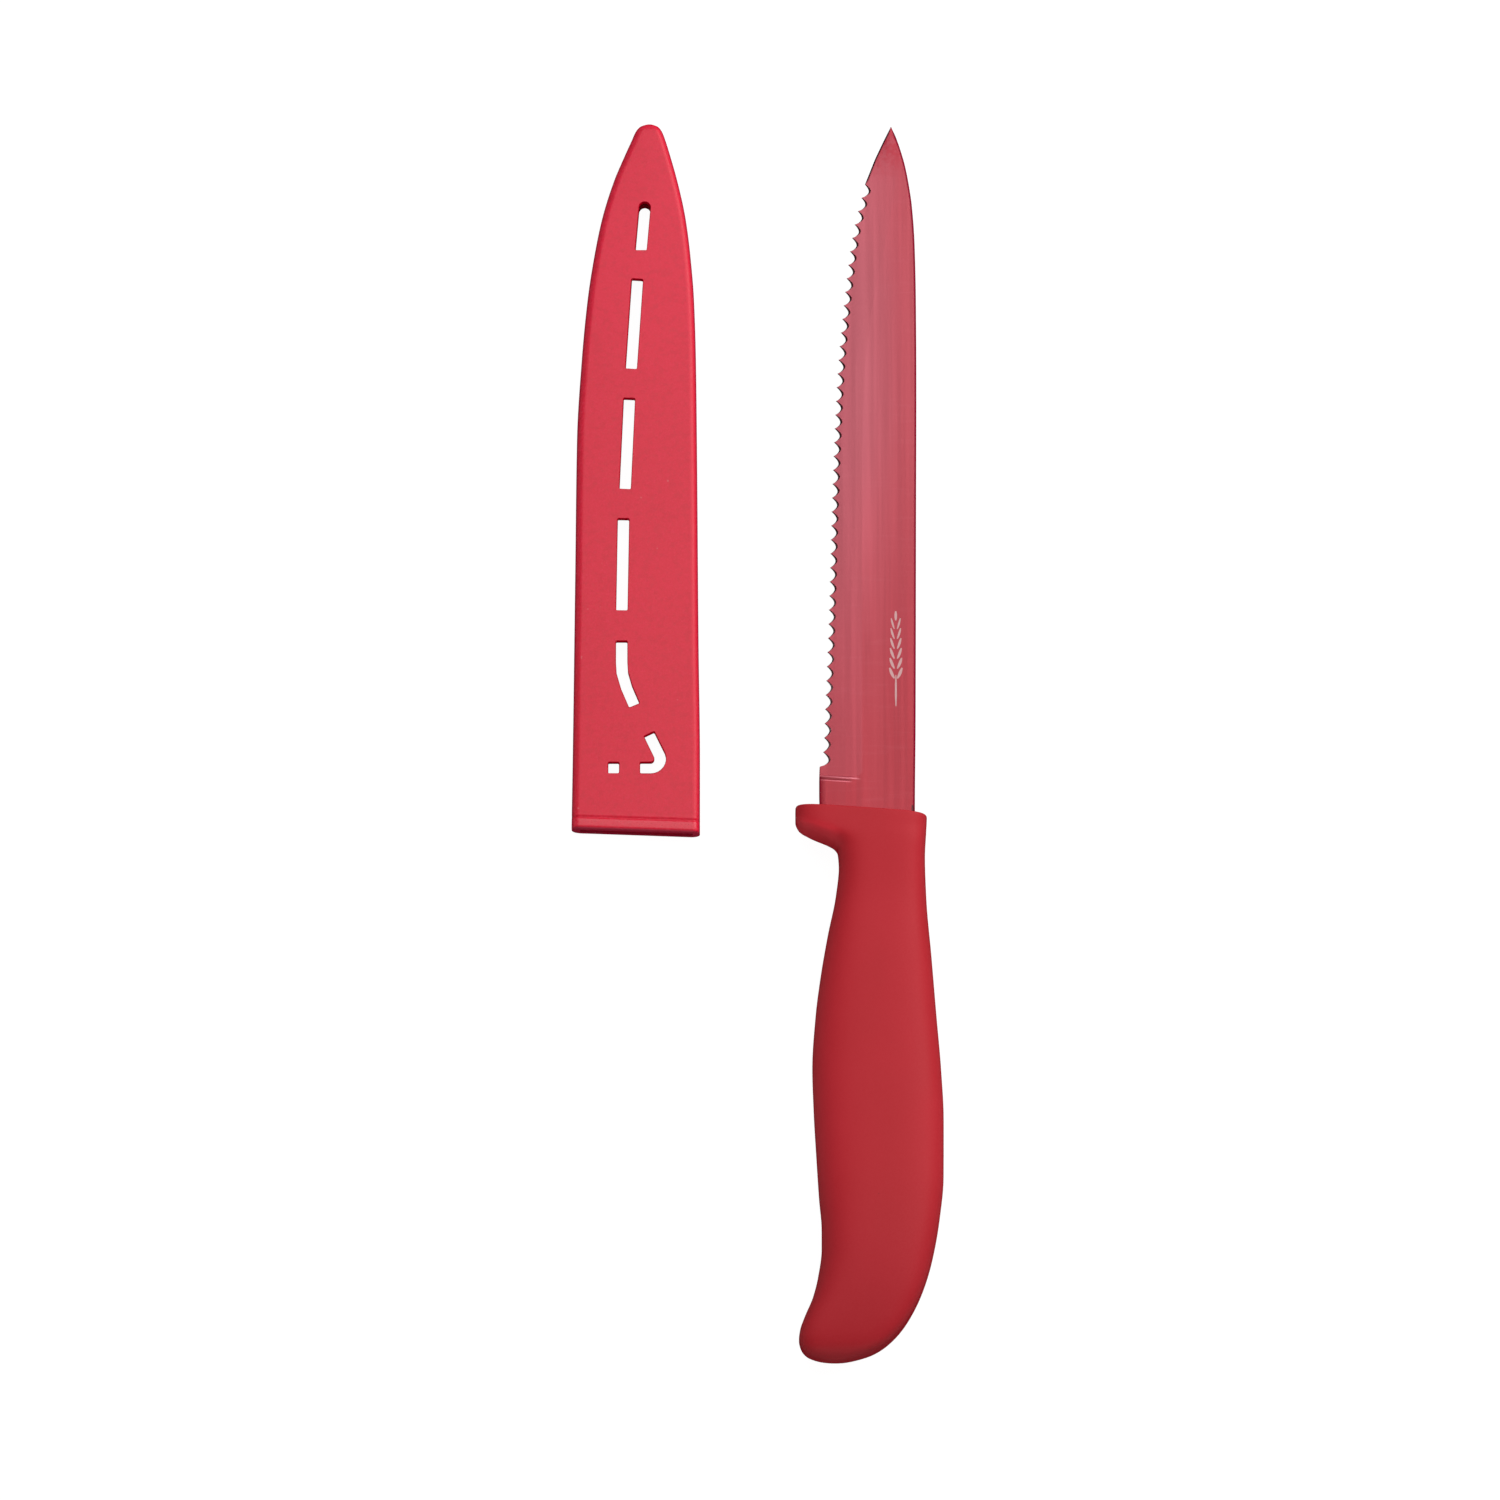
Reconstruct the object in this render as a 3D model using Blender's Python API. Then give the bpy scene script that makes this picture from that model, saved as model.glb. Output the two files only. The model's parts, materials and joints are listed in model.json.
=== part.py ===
"""Serrated bread knife with a slide-on blade sheath.

The knife lies on its side with its sheath to the left of it.  +X is to the right,
+Y runs from butt to point and +Z is up, with the table at about Z = 0.  Cutting
edges face -X.  Sizes are in millimetres, turned into metres when a mesh is made.
Knife parts are measured from the guard face, sheath parts from the sheath mouth.
"""

import math

import bmesh
import bpy
from mathutils import Vector

MM = 0.001
GAP = 0.3                # clearance between neighbouring pieces

# ---- placing -------------------------------------------------------------
KNIFE_X = 21.94          # knife axis
GUARD_Y = -16.00         # front face of the guard, on the knife axis
KNIFE_Z = 8.0            # middle plane of blade and handle
SHEATH_X = -23.89        # sheath axis
MOUTH_Y = -18.50         # mouth of the sheath, on its axis

# ---- blade sizes ---------------------------------------------------------
BLADE_LEN = 139.7        # guard face to point
BLADE_T = 1.4            # stock thickness
BLADE_T_TIP = 1.0        # after the distal taper
EDGE_T = 0.3             # at the tips of the teeth
TAPER_START = 75.0       # the distal taper runs from here
TAPER_END = 135.0        # to here, where the thinning of the point begins
POINT_THINNING = 0.6     # share of the thickness lost by the very point
POINT_RINGS = 8          # rings ahead of the last tooth
POINT_SPACING = 0.85     # power that spaces those rings
PLUNGE = 7.9             # rear end of the full flat grind
PLUNGE_RUN = 0.8         # the grind fades out over this length
HEEL_EDGE = -9.7         # straight edge behind the teeth

SCALLOPS = 42
SCALLOP_STEPS = 6
PITCH_HEEL = 2.895       # the scallops close up slightly towards the point
PITCH_POINT = 2.73
TEETH_START = 9.8        # rear end of the first scallop
HEEL_RING_GAP = 0.25     # last heel ring, behind the first scallop
SCALLOP_DEPTH = 1.0
DEPTH_GAIN = 0.15        # share by which the scallops deepen towards the point
LEAN_GAIN = 0.2          # loss of the lean exponent towards the point
FIRST_DEEP = 1.4         # depth factor of the first scallop
FIRST_LEAN = 0.75        # lean exponent of the first scallop
SCALLOP_POWER = 1.8      # roundness of the scallop curve

SHOULDER = 3.0           # full blade height carried into the guard
SHOULDER_STEP = 0.6      # length over which it narrows to the tang
TANG_L, TANG_R = -2.2, 7.6
TANG_MID = (TANG_L + TANG_R) / 2
TANG_LEN = 72.0
TANG_CHAMFER = 1.5       # at the rear corners
LOCK_R = 2.5             # holes the handle is moulded through
LOCK_Y = (-25.0, -55.0)
LOCK_SIDES = 20
LOCK_CUT = 3.0           # half height of the hole and post cutters

# Blade outlines: (distance ahead of the guard face, X offset)
SPINE = [(-4, 9.2), (0, 9.15), (18, 9.32), (58, 9.5), (90.5, 9.63), (103.5, 9.58),
         (115.5, 9.35), (123.5, 8.82), (127.5, 8.27), (131.5, 7.52), (135.5, 6.4),
         (137.8, 5.56), (BLADE_LEN, 4.72)]
# Line through the tips of the teeth
TEETH = [(TEETH_START, -9.5), (13.3, -8.85), (21, -8.55), (33, -8.05), (47, -7.6),
         (61.7, -7.2), (75.6, -6.7), (89.5, -6.0), (103.4, -4.75), (117.4, -3.0),
         (127.9, -0.53)]
# Plain edge between the teeth and the point
FORE_EDGE = [(127.9, -0.5), (130.4, 0.47), (133.2, 1.57), (135.5, 2.62),
             (137.5, 3.57), (BLADE_LEN, 4.65)]
# Line where the grind meets the full thickness
GRIND = [(-4, -1.15), (8, -1.15), (70, -1.15), (89.5, -0.5), (103.5, 1.15),
         (115.5, 3.5), (124.4, 5.2), (129.4, 5.7), (132.7, 5.4), (136.4, 4.8),
         (BLADE_LEN, 4.35)]

# ---- handle sizes --------------------------------------------------------
HANDLE_LEN = 109.1
HANDLE_T = 16.06         # thickness along Z
HANDLE_RING = 32         # points in a cross section
MIN_HALF_T = 0.6         # least half thickness, at the butt
GUARD_SLOPE = 0.07       # rearward lean of the guard face per unit of X
GUARD_FADE = 6.0         # the lean dies out over this length
NECK_DEPTH = 0.45        # hollow in each face behind the guard
NECK_Y = 17.0            # deepest place of the hollow
NECK_SPREAD = 8.0
BUTT_START = 85.0        # from here the thickness falls off
BUTT_MARGIN = 0.1        # keeps the fall-off from reaching zero at the end
BUTT_THINNING = 0.3      # gentle part of the fall-off
BUTT_SHARPNESS = 15      # powers that round the very end
BUTT_ROUND = 2.4
SLOT_FRONT = 4.0         # the slot cutter sticks out ahead of the guard
SLOT_SPINE = 9.22        # spine offset the slot is cut for

# Handle outlines: (distance behind the guard face, X offset)
HANDLE_L = [(0, -14.4), (1.9, -14.4), (2.9, -13.9), (3.9, -11.9), (5.15, -8.5),
            (6.05, -6.95), (7.4, -6.1), (10.6, -5.85), (16.5, -6.45), (24.7, -8.1),
            (32.6, -9.45), (40.5, -10.45), (50.8, -11.1), (59, -10.85), (68.8, -10.3),
            (76.6, -9.8), (82.8, -9.3), (86.8, -9.3), (92.7, -10.05), (96.7, -11.05),
            (100.7, -12.7), (103.2, -13.55), (104.7, -13.75), (106.1, -13.45),
            (107.5, -12.5), (108.5, -10.5), (108.95, -8.5), (HANDLE_LEN, -7.0)]
HANDLE_R = [(0, 11.5), (3.4, 11.35), (8.9, 11.1), (16.9, 11.35), (28.8, 12.35),
            (40.6, 13.3), (50.8, 14.15), (61, 14.65), (72.7, 14.6), (80.5, 13.85),
            (88.7, 12.4), (94.7, 10.6), (100.7, 7.65), (104.6, 4.5),
            (107.1, 1.05), (108.5, -2.9), (108.95, -4.9), (HANDLE_LEN, -6.2)]
# (distance behind the guard face, superellipse exponent of the cross section)
HANDLE_FULL = [(0, 4.6), (5, 4.2), (10, 3.6), (18, 3.2), (40, 3.0), (88, 3.1), (97, 3.8),
               (104, 4.6), (HANDLE_LEN, 4.8)]
# Rounding of the guard's front rim: (distance behind the guard face, inset)
GUARD_RIM = [(0, 0.55), (0.17, 0.15), (0.55, 0)]
# Remaining rings, by distance behind the guard face
HANDLE_STATIONS = [1.6, 2.3, 2.9, 3.5, 4.1, 4.7, 5.4, 6.1, 7.0, 8.3, 10, 12, 15, 19, 24,
                   29.5, 35, 41, 48, 55, 62, 69, 75.5, 81, 86, 91, 95, 98.4, 101.2, 103.4,
                   105.1, 106.4, 107.4, 108.2, 108.7, 109.0, HANDLE_LEN]

# ---- sheath sizes --------------------------------------------------------
SHEATH_LEN = 143.7
SHEATH_T = 5.6
SHEATH_EDGE_R = 1.6
CORNER_STEPS = 4         # segments in each rounded corner
MOUTH_SLOPE = 0.036      # rearward lean of the mouth per unit of X
MOUTH_FADE = 12.0        # the lean dies out over this length
WALL_FACE = 1.7          # panels
WALL_CUT = 1.6           # wall on the cutting-edge side
WALL_SPINE = 1.4         # wall on the spine side
POCKET_END = 141.0

# Sheath outlines: (distance ahead of the mouth, X offset)
SHEATH_L = [(0, -12.65), (14.4, -12.45), (50.9, -12.05), (79.4, -11.75), (95.4, -10.85),
            (107.9, -9.7), (116.1, -8.5), (124.2, -6.9), (132.4, -4.4), (136.4, -2.75),
            (140.4, -1), (142.2, -0.2), (143.25, 0.7), (SHEATH_LEN, 1.9)]
SHEATH_R = [(0, 12.65), (14.4, 12.65), (38.8, 12.35), (79.4, 12), (95.4, 11.8),
            (107.9, 11.4), (116.1, 10.75), (124.2, 9.75), (132.4, 8), (136.4, 6.9),
            (140.4, 5.7), (142.2, 5), (143.25, 4.2), (SHEATH_LEN, 3.1)]
# Rings of shell and pocket, by distance ahead of the mouth
SHEATH_STATIONS = [0, 4, 12, 25, 40, 60, 79, 90, 99, 107, 114, 120.3, 126.2, 131,
                   134.8, 138, 140.1, 141.6, 142.5, 143.0, 143.4, SHEATH_LEN]
POCKET_STATIONS = [-3, 14, 38.4, 60, 79, 95, 107.5, 115.7,
                   123.8, 129, 132.5, 136, 138.5, POCKET_END]

# ---- sheath windows ------------------------------------------------------
WINDOW_W = 2.28
WINDOW_FLOOR = 0.2       # window cutters stop this far from the middle plane
BACK_EXTRA = 2.0         # back windows reach this much nearer the point
# Centre lines (x, y) from the mouth end to the point end
ROUNDED_WINDOW = [(0.85, 117.65), (1.6, 126.35)]
STRAIGHT_WINDOWS = [[(-1.05, 93.45), (0.15, 111.7)],
                    [(-2.22, 69.0), (-1.4, 87.4)],
                    [(-2.82, 44.4), (-2.53, 62.95)]]
# Bent centre lines: (x, y, share of the extra reach added to y)
BENT_WINDOWS = [[(-0.3, 25.15, 0.42), (-1.85, 28.8, 0.42), (-2.7, 31.75, 0.42),
                 (-2.84, 34.0, 0.42), (-2.84, 38.15, 1.0)],
                [(0.83, 12.56, 0.42), (2.5, 12.56, 0.42), (3.9, 13.06, 0.42),
                 (4.78, 14.0, 0.42), (4.78, 15.1, 0.42), (2.63, 19.4, 0.42)]]
# Outline of the small four-cornered window, with the same columns
SMALL_WINDOW = [(-5.45, 11.5, 0.0), (-3.3, 11.5, 0.0), (-3.3, 13.68, 0.5), (-5.45, 13.68, 0.5)]


# ---- curves --------------------------------------------------------------

def smooth(points, x):
    """Shape-keeping (monotone) cubic through the control points."""
    count = len(points)
    if x <= points[0][0]:
        return points[0][1]
    if x >= points[-1][0]:
        return points[-1][1]
    step = [points[i + 1][0] - points[i][0] for i in range(count - 1)]
    rise = [(points[i + 1][1] - points[i][1]) / step[i] for i in range(count - 1)]
    slope = [rise[0]]
    for i in range(1, count - 1):
        if rise[i - 1] * rise[i] <= 0:
            slope.append(0.0)
        else:
            before = 2 * step[i] + step[i - 1]
            after = step[i] + 2 * step[i - 1]
            slope.append((before + after) / (before / rise[i - 1] + after / rise[i]))
    slope.append(rise[-1])
    i = 0
    while x > points[i + 1][0]:
        i += 1
    part = (x - points[i][0]) / step[i]
    square, cube = part ** 2, part ** 3
    return ((2 * cube - 3 * square + 1) * points[i][1]
            + (cube - 2 * square + part) * step[i] * slope[i]
            + (-2 * cube + 3 * square) * points[i + 1][1]
            + (cube - square) * step[i] * slope[i + 1])


def ramp(x, start, end):
    """Eased rise from 0 at start to 1 at end, level outside."""
    part = min(1.0, max(0.0, (x - start) / (end - start)))
    return part * part * (3 - 2 * part)


def arc(x, y, radius, degrees):
    """Points on a circle at the given angles."""
    return [(x + radius * math.cos(math.radians(angle)),
             y + radius * math.sin(math.radians(angle))) for angle in degrees]


def mirrored_ring(y, profile):
    """Closed ring at y from (x, half thickness) pairs, alike above and below."""
    upper = [(x, y, half) for x, half in profile]
    return upper + [(x, y, -half) for x, half in reversed(profile)]


# ---- objects -------------------------------------------------------------

def material(name, colour, roughness):
    mat = bpy.data.materials.new(name)
    mat.use_nodes = True
    bsdf = mat.node_tree.nodes["Principled BSDF"]
    bsdf.inputs["Base Color"].default_value = (*colour, 1.0)
    bsdf.inputs["Roughness"].default_value = roughness
    bsdf.inputs["Metallic"].default_value = 0.0
    mat.diffuse_color = (*colour, 1.0)
    return mat


def empty(name, place):
    obj = bpy.data.objects.new(name, None)
    obj.location = [c * MM for c in place]
    bpy.context.collection.objects.link(obj)
    return obj


def finish_mesh(bm, name, parent, mat):
    """Turn the bmesh into an object; without a material it is a hidden cutter."""
    bmesh.ops.recalc_face_normals(bm, faces=bm.faces[:])
    mesh = bpy.data.meshes.new(name)
    bm.to_mesh(mesh)
    bm.free()
    obj = bpy.data.objects.new(name, mesh)
    bpy.context.collection.objects.link(obj)
    obj.parent = parent
    if mat is None:
        obj.hide_render = True
        obj.display_type = 'WIRE'
    else:
        mesh.materials.append(mat)
    return obj


def loft(name, rings, parent, mat=None):
    """Skin a list of rings, each a closed loop of the same number of points."""
    bm = bmesh.new()
    loops = [[bm.verts.new([c * MM for c in point]) for point in ring] for ring in rings]
    for near, far in zip(loops, loops[1:]):
        for i in range(len(near)):
            j = (i + 1) % len(near)
            bm.faces.new((near[i], near[j], far[j], far[i]))
    bm.faces.new(loops[0])
    bm.faces.new(list(reversed(loops[-1])))
    return finish_mesh(bm, name, parent, mat)


def prisms(name, outlines, low, high, parent):
    """Cutter made of flat outlines extruded from z = low to z = high."""
    bm = bmesh.new()
    for outline in outlines:
        base = [bm.verts.new((x * MM, y * MM, low * MM)) for x, y in outline]
        made = bmesh.ops.extrude_face_region(bm, geom=[bm.faces.new(base)])
        top = [e for e in made["geom"] if isinstance(e, bmesh.types.BMVert)]
        bmesh.ops.translate(bm, vec=(0, 0, (high - low) * MM), verts=top)
    return finish_mesh(bm, name, parent, None)


def cut(obj, tool, name):
    mod = obj.modifiers.new(name, 'BOOLEAN')
    mod.operation = 'DIFFERENCE'
    mod.object = tool


def shade(obj, sharp_degrees):
    obj.data.shade_smooth()
    obj.data.set_sharp_from_angle(angle=math.radians(sharp_degrees))


# ---- blade ---------------------------------------------------------------

def tooth_tip(i):
    """Distance of the i-th tooth tip from the guard, counted from the heel."""
    return TEETH_START + i * PITCH_HEEL + (PITCH_POINT - PITCH_HEEL) * i * i / (2 * SCALLOPS)


def scallop(i, part):
    """Depth of scallop i at a fraction of its width."""
    deep = FIRST_DEEP if i == 0 else 1 + DEPTH_GAIN * i / SCALLOPS
    lean = FIRST_LEAN if i == 0 else 1 - LEAN_GAIN * i / SCALLOPS
    return SCALLOP_DEPTH * deep * (1 - abs(2 * part ** lean - 1) ** SCALLOP_POWER)


def edge_line(y):
    """X offset of the cutting edge before the scallops bite into it."""
    if y < TEETH_START:
        return HEEL_EDGE
    return smooth(TEETH if y <= TEETH[-1][0] else FORE_EDGE, y)


def blade_ring(y, bite=0.0):
    thick = BLADE_T + (BLADE_T_TIP - BLADE_T) * ramp(y, TAPER_START, TAPER_END)
    thick *= 1 - POINT_THINNING * ramp(y, TAPER_END, BLADE_LEN)
    ground = smooth(GRIND, y)
    left = edge_line(y)
    keen = EDGE_T + (thick - EDGE_T) * (1 - ramp(y, PLUNGE - PLUNGE_RUN, PLUNGE))
    # A bite reaches up the grind, where the steel is thicker.
    edge_t = keen + (thick - keen) * bite / max(ground - left, 1.0)
    return mirrored_ring(y, [(left + bite, edge_t / 2), (ground, thick / 2),
                             (smooth(SPINE, y), thick / 2)])


def tang_ring(y, inset=0.0):
    half = BLADE_T / 2
    return mirrored_ring(y, [(TANG_L + inset, half), (TANG_MID, half), (TANG_R - inset, half)])


def lock_cutter(name, radius, parent):
    turns = [360 * i / LOCK_SIDES for i in range(LOCK_SIDES)]
    circles = [arc(TANG_MID, y, radius, turns) for y in LOCK_Y]
    return prisms(name, circles, -LOCK_CUT, LOCK_CUT, parent)


def make_blade(parent, mat):
    rings = [tang_ring(-TANG_LEN, TANG_CHAMFER), tang_ring(-TANG_LEN + TANG_CHAMFER),
             tang_ring(-SHOULDER - SHOULDER_STEP)]
    for y in (-SHOULDER, 0, PLUNGE - PLUNGE_RUN, PLUNGE - PLUNGE_RUN / 2, PLUNGE,
              TEETH_START - HEEL_RING_GAP):
        rings.append(blade_ring(y))
    for i in range(SCALLOPS):
        for k in range(SCALLOP_STEPS):
            part = k / SCALLOP_STEPS
            y = tooth_tip(i) + part * (tooth_tip(i + 1) - tooth_tip(i))
            rings.append(blade_ring(y, scallop(i, part)))
    teeth_end = tooth_tip(SCALLOPS)
    for i in range(POINT_RINGS + 1):
        part = (i / POINT_RINGS) ** POINT_SPACING
        rings.append(blade_ring(teeth_end + (BLADE_LEN - teeth_end) * part))
    blade = loft("blade", rings, parent, mat)
    cut(blade, lock_cutter("tang_hole_cutter", LOCK_R, parent), "lock_holes")
    shade(blade, sharp_degrees=25)


# ---- handle --------------------------------------------------------------

def handle_half(y):
    """Half thickness of the handle at a distance behind the guard."""
    half = HANDLE_T / 2 - NECK_DEPTH * math.exp(-((y - NECK_Y) / NECK_SPREAD) ** 2)
    if y > BUTT_START:
        part = min(1.0, (y - BUTT_START) / (HANDLE_LEN - BUTT_START + BUTT_MARGIN))
        half *= (1 - BUTT_THINNING * part ** 2) * (1 - part ** BUTT_SHARPNESS) ** (1 / BUTT_ROUND)
    return half


def handle_ring(y, inset, lean):
    """Superellipse cross section at a distance behind the guard."""
    left = smooth(HANDLE_L, y) + inset
    right = smooth(HANDLE_R, y) - inset
    mid, wide = (left + right) / 2, (right - left) / 2
    half = max(MIN_HALF_T, handle_half(y) - inset)
    power = 2 / smooth(HANDLE_FULL, y)
    ring = []
    for i in range(HANDLE_RING):
        angle = 2 * math.pi * (i + 0.5) / HANDLE_RING
        across, up = math.cos(angle), math.sin(angle)
        x = mid + wide * math.copysign(abs(across) ** power, across)
        z = half * math.copysign(abs(up) ** power, up)
        ring.append((x, -y - lean * x, z))
    return ring


def make_tang_slot(parent):
    """Cutter for the room around shoulder and tang, less the posts in the lock holes."""
    half = BLADE_T / 2 + GAP
    shoulder = (HEEL_EDGE - GAP, SLOT_SPINE + GAP)
    tang = (TANG_L - GAP, TANG_R + GAP)
    rows = [(SLOT_FRONT, shoulder), (-SHOULDER - GAP, shoulder),
            (-SHOULDER - SHOULDER_STEP - GAP, tang), (-TANG_LEN - GAP, tang)]
    rings = [mirrored_ring(y, [(left, half), (right, half)]) for y, (left, right) in rows]
    slot = loft("tang_slot_cutter", rings, parent)
    cut(slot, lock_cutter("lock_post_cutter", LOCK_R - GAP, parent), "posts")
    return slot


def make_handle(parent, mat):
    rings = [handle_ring(y, inset, GUARD_SLOPE) for y, inset in GUARD_RIM]
    for y in HANDLE_STATIONS:
        rings.append(handle_ring(y, 0, GUARD_SLOPE * (1 - ramp(y, 0, GUARD_FADE))))
    handle = loft("handle", rings, parent, mat)
    cut(handle, make_tang_slot(parent), "tang_slot")
    shade(handle, sharp_degrees=40)


# ---- sheath --------------------------------------------------------------

def sheath_ring(y):
    """Rounded rectangle, thinned on a radius at the closed end."""
    left, right = smooth(SHEATH_L, y), smooth(SHEATH_R, y)
    half = SHEATH_T / 2
    past = y - (SHEATH_LEN - SHEATH_EDGE_R)
    if past > 0:
        half -= SHEATH_EDGE_R - math.sqrt(max(0.0, SHEATH_EDGE_R ** 2 - past ** 2))
    # The corner radius is kept below what a small section has room for.
    r = min(SHEATH_EDGE_R, 0.45 * (right - left), 0.6 * half)
    lean = MOUTH_SLOPE * (1 - ramp(y, 0, MOUTH_FADE))
    ring = []
    for corner_x, corner_z, start in ((right - r, half - r, 0), (left + r, half - r, 90),
                                      (left + r, r - half, 180), (right - r, r - half, 270)):
        turns = [start + 90 * i / CORNER_STEPS for i in range(CORNER_STEPS + 1)]
        ring += [(x, y - lean * x, z) for x, z in arc(corner_x, corner_z, r, turns)]
    return ring


def pocket_ring(y):
    half = SHEATH_T / 2 - WALL_FACE
    return mirrored_ring(y, [(smooth(SHEATH_L, y) + WALL_CUT, half),
                             (smooth(SHEATH_R, y) - WALL_SPINE, half)])


def bar(points):
    """Outline of a window of constant width along a centre line."""
    one, two = [], []
    last = len(points) - 1
    for i, (x, y) in enumerate(points):
        before = Vector(points[max(i - 1, 0)])
        after = Vector(points[min(i + 1, last)])
        along = (after - before).normalized()
        reach = WINDOW_W / 2
        if 0 < i < last:
            # Widen at a bend, so that the sides stay the full width apart.
            arriving = (Vector(points[i]) - before).normalized()
            reach /= max(0.6, abs(along.dot(arriving)))
        one.append((x - along.y * reach, y + along.x * reach))
        two.append((x + along.y * reach, y - along.x * reach))
    return one + two[::-1]


def stretched(points, extra):
    return [(x, y + share * extra) for x, y, share in points]


def windows(extra):
    """The broken line of windows; extra carries all but the first towards the point."""
    r = WINDOW_W / 2
    (low_x, low_y), (top_x, top_y) = ROUNDED_WINDOW
    round_end = arc(top_x, top_y, r, range(0, 181, 30))
    shapes = [[(low_x + r, low_y)] + round_end + [(low_x - r, low_y)]]
    for low, high in STRAIGHT_WINDOWS:
        shift = (Vector(high) - Vector(low)).normalized() * extra
        shapes.append(bar([low, (high[0] + shift.x, high[1] + shift.y)]))
    shapes += [bar(stretched(points, extra)) for points in BENT_WINDOWS]
    shapes.append(stretched(SMALL_WINDOW, extra))
    return shapes


def make_sheath(parent, mat):
    """Shell with its pocket; front windows pierce the +Z panel, back ones the -Z panel."""
    sheath = loft("sheath", [sheath_ring(y) for y in SHEATH_STATIONS], parent, mat)
    pocket = loft("pocket_cutter", [pocket_ring(y) for y in POCKET_STATIONS], parent)
    front = prisms("front_window_cutter", windows(0.0), WINDOW_FLOOR, SHEATH_T, parent)
    back = prisms("back_window_cutter", windows(BACK_EXTRA), -SHEATH_T, -WINDOW_FLOOR, parent)
    cut(sheath, pocket, "pocket")
    cut(sheath, front, "front_windows")
    cut(sheath, back, "back_windows")
    shade(sheath, sharp_degrees=35)


def main():
    for obj in list(bpy.data.objects):
        bpy.data.objects.remove(obj, do_unlink=True)
    coated = material("coated_steel", colour=(0.50, 0.085, 0.10), roughness=0.38)
    soft = material("soft_handle", colour=(0.44, 0.035, 0.045), roughness=0.6)
    shell = material("sheath_plastic", colour=(0.62, 0.045, 0.07), roughness=0.42)
    knife = empty("knife_origin", (KNIFE_X, GUARD_Y, KNIFE_Z))
    cover = empty("sheath_origin", (SHEATH_X, MOUTH_Y, SHEATH_T / 2))
    make_blade(knife, coated)
    make_handle(knife, soft)
    make_sheath(cover, shell)


main()
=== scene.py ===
"""A serrated bread knife and its sheath, lying flat with their points toward +Y.

The blade's cutting edge faces -X and its spine +X.  "Left" is -X, "right" is +X,
and the upper faces look toward +Z.  Shapes are in millimetres from the part's own
origin and become metres when a mesh is made.  Lights and camera are in metres.
"""

import json
import math

import bmesh
import bpy
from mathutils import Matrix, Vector

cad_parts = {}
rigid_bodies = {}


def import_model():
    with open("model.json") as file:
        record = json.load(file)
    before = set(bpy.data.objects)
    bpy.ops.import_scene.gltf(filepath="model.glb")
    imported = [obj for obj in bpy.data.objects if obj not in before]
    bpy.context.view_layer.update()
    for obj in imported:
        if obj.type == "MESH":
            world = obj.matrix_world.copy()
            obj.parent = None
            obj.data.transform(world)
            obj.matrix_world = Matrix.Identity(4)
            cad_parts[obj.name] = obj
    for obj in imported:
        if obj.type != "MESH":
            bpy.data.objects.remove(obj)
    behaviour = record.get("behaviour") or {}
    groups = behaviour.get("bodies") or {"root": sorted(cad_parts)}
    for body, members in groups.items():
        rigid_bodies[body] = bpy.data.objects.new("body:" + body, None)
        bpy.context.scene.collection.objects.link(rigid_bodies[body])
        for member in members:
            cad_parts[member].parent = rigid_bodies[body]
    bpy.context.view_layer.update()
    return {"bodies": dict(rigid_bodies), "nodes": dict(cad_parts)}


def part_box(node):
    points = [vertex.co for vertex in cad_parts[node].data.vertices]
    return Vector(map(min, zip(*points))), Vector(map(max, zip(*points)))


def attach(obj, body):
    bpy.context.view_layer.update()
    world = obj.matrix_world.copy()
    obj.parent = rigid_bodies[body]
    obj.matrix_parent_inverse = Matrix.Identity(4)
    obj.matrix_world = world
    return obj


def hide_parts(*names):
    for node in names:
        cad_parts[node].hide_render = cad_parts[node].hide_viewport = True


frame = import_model()

MM = 0.001

kept = [*frame["nodes"].values(), *frame["bodies"].values()]
for obj in list(bpy.data.objects):
    if obj not in kept:
        bpy.data.objects.remove(obj)

# ---- sizes, in mm -----------------------------------------------------------
BLADE_LEN = 139.7
BLADE_T, BLADE_T_TIP = 1.4, 1.0
EDGE_T = 0.3
SPINE_R = 0.5
SCALLOPS = 42
PITCH_HEEL, PITCH_POINT = 2.895, 2.73
TEETH_START = 9.8
SCALLOP_DEPTH = 1.0
SHOULDER = 3.0                  # full blade width hidden in the guard
TANG_L, TANG_R, TANG_LEN = -2.2, 7.6, 72.0
LOCK_R = 2.5                    # holes through the tang, filled by handle posts
LOCK_X = (TANG_L + TANG_R) / 2
LOCK_YS = (-25.0, -55.0)
LOCK_REACH = 3                  # half length of the tools for holes and posts
GAP = 0.3                       # clearance of the tang in the handle
HANDLE_LEN, HANDLE_T = 109.1, 16.06
HANDLE_EDGE_R = 0.32
GUARD_SLOPE, MOUTH_SLOPE = 0.07, 0.036
SHEATH_LEN, SHEATH_T, SHEATH_EDGE_R = 143.7, 5.6, 1.6
MOUTH_EDGE_R = 0.6
WALL_FACE, WALL_CUT, WALL_SPINE = 1.7, 1.6, 1.4
POCKET_END, POCKET_CORNER = 141.0, 0.3
SLOT_W, SLOT_CORNER, SLOT_CORNER_STEPS = 2.28, 0.28, 4
ETCH_X, ETCH_Y = (3.5, 7.5), (21, 42)   # area that holds the etched mark

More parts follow.
